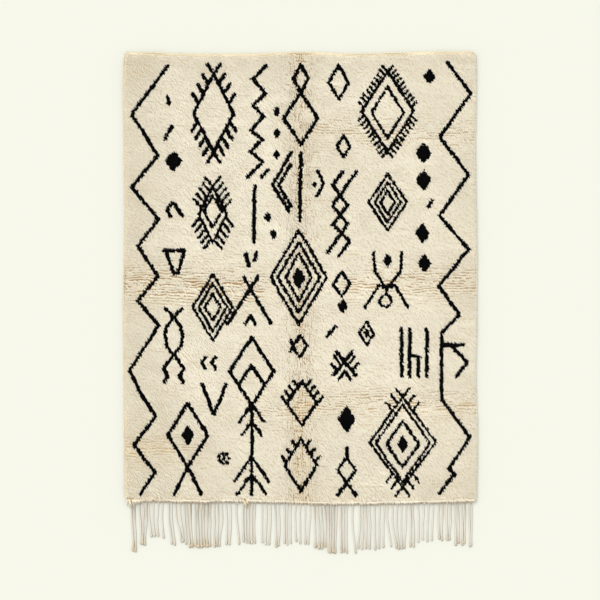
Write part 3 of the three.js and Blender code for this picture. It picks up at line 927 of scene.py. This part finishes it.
def rim_locks():
    """Locks tied at the very edge of the two sides and the plain end, which fall outwards over it.

    Those of the right side are duller in shade with the colour of cut ends, like the pile's painted shade
    towards its edges. The others, which face the lamp, have the darker colour of roots: painted shade that
    tones down their light.
    """
    random = np.random.default_rng(SEED + 1)
    side = np.linspace(0.004, 0.998, round(BODY_LENGTH / RIM_PITCH))
    end = np.linspace(0.004, 0.996, round(BODY_WIDTH / RIM_PITCH))
    across = np.concatenate([np.zeros_like(side), np.ones_like(side), end])
    down = np.concatenate([side, side, np.zeros_like(end)])
    x, y = grid_place(across, down)
    out_x = np.concatenate([np.repeat([-1.0, 1.0], len(side)), (end - 0.5) * 0.2])
    out_y = np.repeat([-0.35, 1.0], [2 * len(side), len(end)])
    right = out_x > 0.5
    reach = 8 + 1.6 * random.standard_normal(len(x))
    lean = unit(np.stack([out_x, out_y], -1)) * reach[:, None]
    lean = lean + 1.2 * random.standard_normal(lean.shape)
    root = np.stack([x - out_x * 3, y - np.maximum(out_y, 0) * 3, np.full_like(x, 2.5)], -1)
    height = 3.5 + 1.5 * random.uniform(-1, 1, len(x))
    # The right side is painted duller, like the pile's painted shade towards its edges; the others take root
    # colour below, painted shade on the rims that face the lamp.
    shade = RIM_SHADE - 0.18 * right + 0.08 * random.uniform(-1, 1, len(x))
    half_wide = 3.4 + 0.3 * random.standard_normal(len(x))
    points, fibre, share = lock_arrays(root, lean, height, half_wide, shade)
    return points, fibre, mix(0.1 * share, 0.85 + 0.15 * share, right[:, None])


def strip_back(x):
    """The y of the back of the fringe's strip: the ground's fringed edge, less the gap behind the strip."""
    shares = np.linspace(0, 1, 400)
    edge_x, edge_y = grid_place(shares, np.ones_like(shares))
    return np.interp(x, edge_x, edge_y) - STRIP_GAP


def cord_rows():
    """Each cord's place at its root and tip, length, how aged its tip is, and its order in its bunch."""
    rows = []
    for bunch in BUNCHES:
        for order, share in enumerate(np.linspace(0, 1, bunch["cords"])):
            root, tip = [mix(bunch[f"{end}_from"], bunch[f"{end}_to"], share) for end in ("root", "tip")]
            rows.append((root, tip, bunch["length"], bunch["aged"], order))
    return np.array(rows)


def tube_faces(lines, stations, ring, first=0):
    """Quads and end triangles of tubes, each numbered ring by ring and then by its two ends' middles."""
    index = np.arange(stations * ring).reshape(stations, ring)
    turned = np.roll(index, -1, 1)
    quads = np.stack([index[:-1], turned[:-1], turned[1:], index[1:]], -1).reshape(-1, 4)
    start = np.full(ring, stations * ring)
    ends = np.concatenate([np.stack([start, turned[0], index[0]], -1),
                           np.stack([start + 1, index[-1], turned[-1]], -1)])
    first = first + (np.arange(lines) * (stations * ring + 2))[:, None, None]
    return (quads[None] + first).reshape(-1, 4), (ends[None] + first).reshape(-1, 3)


def tubes(middles, radius, turn, outline, flatness):
    """Rings of points round lines of middles that run mostly along y, with a point at each end.

    outline gives each ring point's share of the radius, and turn, in radians, turns the ring about the
    line, which twists the outline along it. flatness is a ring's height over its width.
    """
    along = unit(np.gradient(middles, axis=1))
    side = unit(np.stack([-along[..., 1], along[..., 0], np.zeros(along.shape[:2])], -1))
    crown = np.cross(along, side)
    angles = 2 * np.pi * np.arange(len(outline)) / len(outline) + turn[..., None]
    reach = radius[..., None] * outline
    rings = middles[:, :, None] + side[:, :, None] * (np.cos(angles) * reach)[..., None]
    rings = rings + crown[:, :, None] * (np.sin(angles) * reach * flatness)[..., None]
    return np.concatenate([rings.reshape(len(middles), -1, 3), middles[:, :1], middles[:, -1:]], 1)


def cord_arrays(fringe):
    """Points, faces and values of the two-ply cords, with a knot near each cut end.

    A cord's middle runs from its root to its tip with an eased shift and a slight sway, and the tips of
    neighbours in a bunch draw together in pairs. Its two plies are an outline of two lobes, flattened as
    it lies, turned once every ply pitch. The knot is a bell-shaped swelling, and aged cords are loosened
    towards it.
    """
    root, tip, length, aged, order = cord_rows().T
    number = np.arange(len(root))
    length = length + CORD_LENGTH_SPREAD * chance(number + 40, 0, 0)
    along = np.linspace(0, 1, CORD_STATIONS)[None]
    root_x = root - BODY_WIDTH / 2
    front = strip_back(root_x) - STRIP_DEPTH
    sway = CORD_SWAY * np.sin(np.pi * along) * np.sin(2 * np.pi * root / CORD_SWAY_WAVE)[:, None]
    sway = sway + 1.6 * drift(along * length[:, None], number[:, None] * 7.0, 45, 1, 31)
    pair = number - order + order // 2
    odd = order % 2
    gather = np.clip(1.2 + 2.4 * chance(pair, 8, 9), 0, PAIR_GATHER) * (1 - 2 * odd)
    x = mix(root_x[:, None], (tip + gather)[:, None] - BODY_WIDTH / 2, ease(along * 1.4 - 0.4)) + sway
    y = front[:, None] + CORD_ROOT - along * (length[:, None] + CORD_ROOT)
    from_tip = (1 - along) * length[:, None]
    knot = np.exp(-(((from_tip - KNOT_FROM_TIP) / KNOT_SPREAD) ** 2))
    tail = np.exp(-((from_tip / 3.0) ** 2))
    loosened = 0.55 * aged[:, None] * ease(along * 4 - 3)
    swelling = 1 + KNOT_SWELLING * knot - 0.15 * tail + loosened
    radius = fringe.cord_width / MM / 2 * (1 + 0.06 * chance(number, 1, 2))[:, None] * swelling
    lift = 0.5 * odd[:, None] * ease(along * 1.6 - 0.5) + 1.5 * (1 - ease(along * 12))
    middles = np.stack([x, y, radius * CORD_FLATNESS + lift], -1)
    turn = 2 * np.pi * along * length[:, None] / (fringe.ply_pitch / MM) + number[:, None] * 1.7
    points = tubes(middles, radius, turn, PLY_OUTLINE, CORD_FLATNESS)

    ring = len(PLY_OUTLINE)
    shade = 0.75 - 0.7 * aged + 0.22 * chance(number, 3, 4)
    round_cord = np.sin(2 * np.pi * np.arange(ring) / ring) * 0.008
    spread = np.concatenate([np.tile(round_cord, CORD_STATIONS), [0, 0]])
    fibre = np.clip(shade, *SHADES)[:, None] + spread
    share = np.concatenate([np.repeat(along[0], ring), [0.0, 1.0]])
    share = np.broadcast_to(share ** 1.6, fibre.shape)
    faces = tube_faces(len(root), CORD_STATIONS, ring)
    return points.reshape(-1, 3), *faces, fibre.ravel(), share.ravel()


def strip_arrays(first):
    """Points, faces and values of the strip that the cords leave: a low ribbed bar along the ground."""
    reach = BODY_WIDTH / 2 - STRIP_END_INSET
    x = np.linspace(-reach, reach, STRIP_STATIONS)
    middle_y = strip_back(x) - STRIP_DEPTH / 2
    height = STRIP_HEIGHT * (0.92 + 0.08 * np.cos(np.pi * np.arange(STRIP_STATIONS)))
    angles = np.radians([0, 38, 90, 142, 180, 218, 270, 322])
    deep = np.cos(angles) * STRIP_DEPTH / 2
    tall = np.sign(np.sin(angles)) * np.abs(np.sin(angles)) ** 0.6 / 2 + 0.5
    rings = np.stack(np.broadcast_arrays(x[:, None], middle_y[:, None] + deep, height[:, None] * tall), -1)
    points = np.concatenate([rings.reshape(-1, 3), rings[:1].mean(1), rings[-1:].mean(1)])
    fibre = np.concatenate([np.tile(0.1 + np.cos(angles) * 0.01, STRIP_STATIONS), [0.1, 0.1]])
    ribs = np.arange(STRIP_STATIONS) % 2 * 0.02 + 0.02
    share = np.concatenate([np.repeat(ribs, len(angles)), [0.0, 0.0]])
    return points, *tube_faces(1, STRIP_STATIONS, len(angles), first), fibre, share


def make_fringe(fringe):
    """The warp fringe: a narrow woven strip, and knotted two-ply cords, in one mesh."""
    cords = cord_arrays(fringe)
    strip = strip_arrays(first=len(cords[0]))
    points, quads, triangles, fibre, share = [np.concatenate(pair) for pair in zip(cords, strip)]
    return make_piece("warp_fringe", points, quads, triangles, warp_yarn(fringe),
                      point_values={"fibre": fibre, "share": share})


def dress(piece, node):
    """The piece rides on the rug and stands for the node, whose own part is hidden."""
    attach(piece, "root")
    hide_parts(node)


def length_property(name, text, default):
    """A size in metres."""
    return bpy.props.FloatProperty(name=name, description=text, default=default, min=0.0001, unit="LENGTH")


def colour_property(name, text, code):
    """A colour, kept as the shader takes it."""
    return bpy.props.FloatVectorProperty(name=name, description=text, default=linear(code), size=3,
                                         min=0.0, max=1.0, subtype="COLOR")


class RugPileSettings(bpy.types.PropertyGroup):
    """Colours of the wool."""

    # The dull, beige and aged root colours are duller and yellowed wool, and also painted shade towards the
    # edges, in the folds and their gaps, in the last row and on the rims; root colour is painted shade on the
    # rims that face the lamp.
    cream_colour: colour_property("Cream", "Clean cream wool along a lock", "#F0E9D7")
    cream_end_colour: colour_property("Cream end", "Cut end of clean cream wool", "#FBF3E3")
    dull_and_shaded_colour: colour_property("Dull cream", "Dull cream wool along a lock", "#E1D8C4")
    dull_and_shaded_end_colour: colour_property("Dull cream end", "Cut end of dull cream wool", "#E7DFCC")
    beige_colour: colour_property("Beige", "Yellowed wool along a lock", "#D9C397")
    beige_end_colour: colour_property("Beige end", "Cut end of yellowed wool", "#E9D6B0")
    root_colour: colour_property("Root", "Clean wool at the root of a lock", "#E0D7C0")
    dull_and_shaded_root_colour: colour_property("Dull root", "Dull wool at the root of a lock", "#B59E78")
    aged_and_shaded_root_colour: colour_property("Aged root", "Yellowed wool at the root of a lock", "#A0845E")
    black_colour: colour_property("Black", "Black wool of the motifs", "#0B0A0A")


class RugFringeSettings(bpy.types.PropertyGroup):
    """Size and colours of the fringe's cords."""

    cord_width: length_property("Cord width", "Across one twisted cord", 0.0084)
    ply_pitch: length_property("Ply pitch", "Length of one full turn of the two plies", 0.026)
    cord_colour: colour_property("Cord", "Undyed warp yarn", "#CBC4B8")
    # The strip colour is partly painted shadow: the dark line along the pile's edge.
    strip_colour: colour_property("Strip", "Warp yarn of the strip and of aged cords' roots", "#A39580")
    knot_colour: colour_property("Dull end", "Knot and cut end of a dull cord", "#BEB4A4")
    aged_colour: colour_property("Aged end", "Knot and cut end of a yellowed cord", "#C0AF90")


class RugStageSettings(bpy.types.PropertyGroup):
    """Size and colour of the floor, and strength of the light."""

    floor_colour: colour_property("Floor", "Plain matt floor", "#C8C9C0")
    floor_width: length_property("Floor width", "Across the square floor", 60.0)
    sky_strength: bpy.props.FloatProperty(name="Soft light", description="Even light from all round",
                                          default=1.15, min=0.0)
    lamp_strength: bpy.props.FloatProperty(name="Lamp", description="Strength of the large soft lamp",
                                           default=1.8, min=0.0)


class RUG_OT_pile(bpy.types.Operator):
    """Makes the woven ground, the cream pile and the black pile of the motifs"""

    bl_idname = "rug.pile"
    bl_label = "Ground and Pile"

    def execute(self, context):
        """Ties every lock by the chart, and joins them as bands of cream pile and one piece of black."""
        pile = context.scene.rug_pile
        chart = charted()
        pieces = [make_ground(pile, chart)]
        locks, black = pile_locks(chart)
        cream = cream_wool(pile)
        cream_locks = [array[~black] for array in locks]
        bounds = np.linspace(0, len(cream_locks[0]), BANDS + 1).astype(int)
        for number, (start, stop) in enumerate(zip(bounds, bounds[1:]), 1):
            part = [array[start:stop] for array in cream_locks]
            pieces.append(make_locks(f"pile_band_{number}", part, cream))
        pieces.append(make_locks("pile_rim", rim_locks(), cream))
        pieces.append(make_locks("pile_motifs", [array[black] for array in locks], black_wool(pile)))
        for piece in pieces:
            dress(piece, "rug_body")
        return {"FINISHED"}


class RUG_OT_fringe(bpy.types.Operator):
    bl_idname = "rug.fringe"
    bl_label = "Fringe"

    def execute(self, context):
        """Twists the cords."""
        dress(make_fringe(context.scene.rug_fringe), "fringe")
        return {"FINISHED"}


class RUG_OT_stage(bpy.types.Operator):
    """Makes the floor, the light and the camera straight above"""

    bl_idname = "rug.stage"
    bl_label = "Floor, Light and Camera"

    def execute(self, context):
        """Lays a pale floor, lights it evenly with one soft lamp, and frames the rug from straight above."""
        stage = context.scene.rug_stage
        half = stage.floor_width / 2
        mesh = bpy.data.meshes.new("floor")
        corners = [(x * half, y * half, FLOOR_LEVEL) for x, y in ((-1, -1), (1, -1), (1, 1), (-1, 1))]
        mesh.from_pydata(corners, [], [(0, 1, 2, 3)])
        material, shader = new_material("matt_floor_paint", specular=0.0, roughness=1.0)
        shader.inputs["Base Color"].default_value = opaque(stage.floor_colour)
        mesh.materials.append(material)
        floor = bpy.data.objects.new("floor", mesh)
        context.scene.collection.objects.link(floor)

        world = bpy.data.worlds.new("soft_studio")
        world.use_nodes = True
        background = world.node_tree.nodes["Background"]
        background.inputs["Color"].default_value = opaque(SKY_COLOUR)
        background.inputs["Strength"].default_value = stage.sky_strength
        context.scene.world = world

        lamp = bpy.data.lights.new("soft_lamp", "SUN")
        lamp.energy = stage.lamp_strength
        lamp.angle = math.radians(LAMP_ANGLE)
        lamp_object = bpy.data.objects.new("soft_lamp", lamp)
        lamp_object.rotation_euler = [math.radians(turn) for turn in LAMP_TILT]
        context.scene.collection.objects.link(lamp_object)

        camera = bpy.data.cameras.new("camera")
        camera.lens = camera.sensor_width * (CAMERA_HEIGHT - PILE_HEIGHT * MM) / VIEW_WIDTH
        camera_object = bpy.data.objects.new("camera", camera)
        camera_object.location = (0.0, VIEW_Y, CAMERA_HEIGHT)
        context.scene.collection.objects.link(camera_object)
        context.scene.camera = camera_object
        context.scene.view_settings.view_transform = "Standard"
        return {"FINISHED"}


class RUG_PT_panel(bpy.types.Panel):
    """The rug's settings and steps in the 3D view's sidebar"""

    bl_label = "Knotted Wool Rug"
    bl_idname = "RUG_PT_panel"
    bl_space_type = "VIEW_3D"
    bl_region_type = "UI"
    bl_category = "Rug"

    def draw(self, context):
        """Lists each step with the settings that it uses."""
        for settings_name, operator in (("rug_pile", "rug.pile"), ("rug_fringe", "rug.fringe"),
                                        ("rug_stage", "rug.stage")):
            settings = getattr(context.scene, settings_name)
            box = self.layout.box()
            for name in settings.__annotations__:
                box.prop(settings, name)
            box.operator(operator)


CLASSES = (RugPileSettings, RugFringeSettings, RugStageSettings, RUG_OT_pile, RUG_OT_fringe, RUG_OT_stage,
           RUG_PT_panel)


def register():
    """Registers the classes and their settings on the scene."""
    for item in CLASSES:
        bpy.utils.register_class(item)
    bpy.types.Scene.rug_pile = bpy.props.PointerProperty(type=RugPileSettings)
    bpy.types.Scene.rug_fringe = bpy.props.PointerProperty(type=RugFringeSettings)
    bpy.types.Scene.rug_stage = bpy.props.PointerProperty(type=RugStageSettings)


def unregister():
    """Takes the settings and classes away again."""
    del bpy.types.Scene.rug_pile
    del bpy.types.Scene.rug_fringe
    del bpy.types.Scene.rug_stage
    for item in reversed(CLASSES):
        bpy.utils.unregister_class(item)


def main():
    """Builds the rug."""
    register()
    bpy.ops.rug.pile()
    bpy.ops.rug.fringe()
    bpy.ops.rug.stage()


if __name__ == "__main__":
    main()
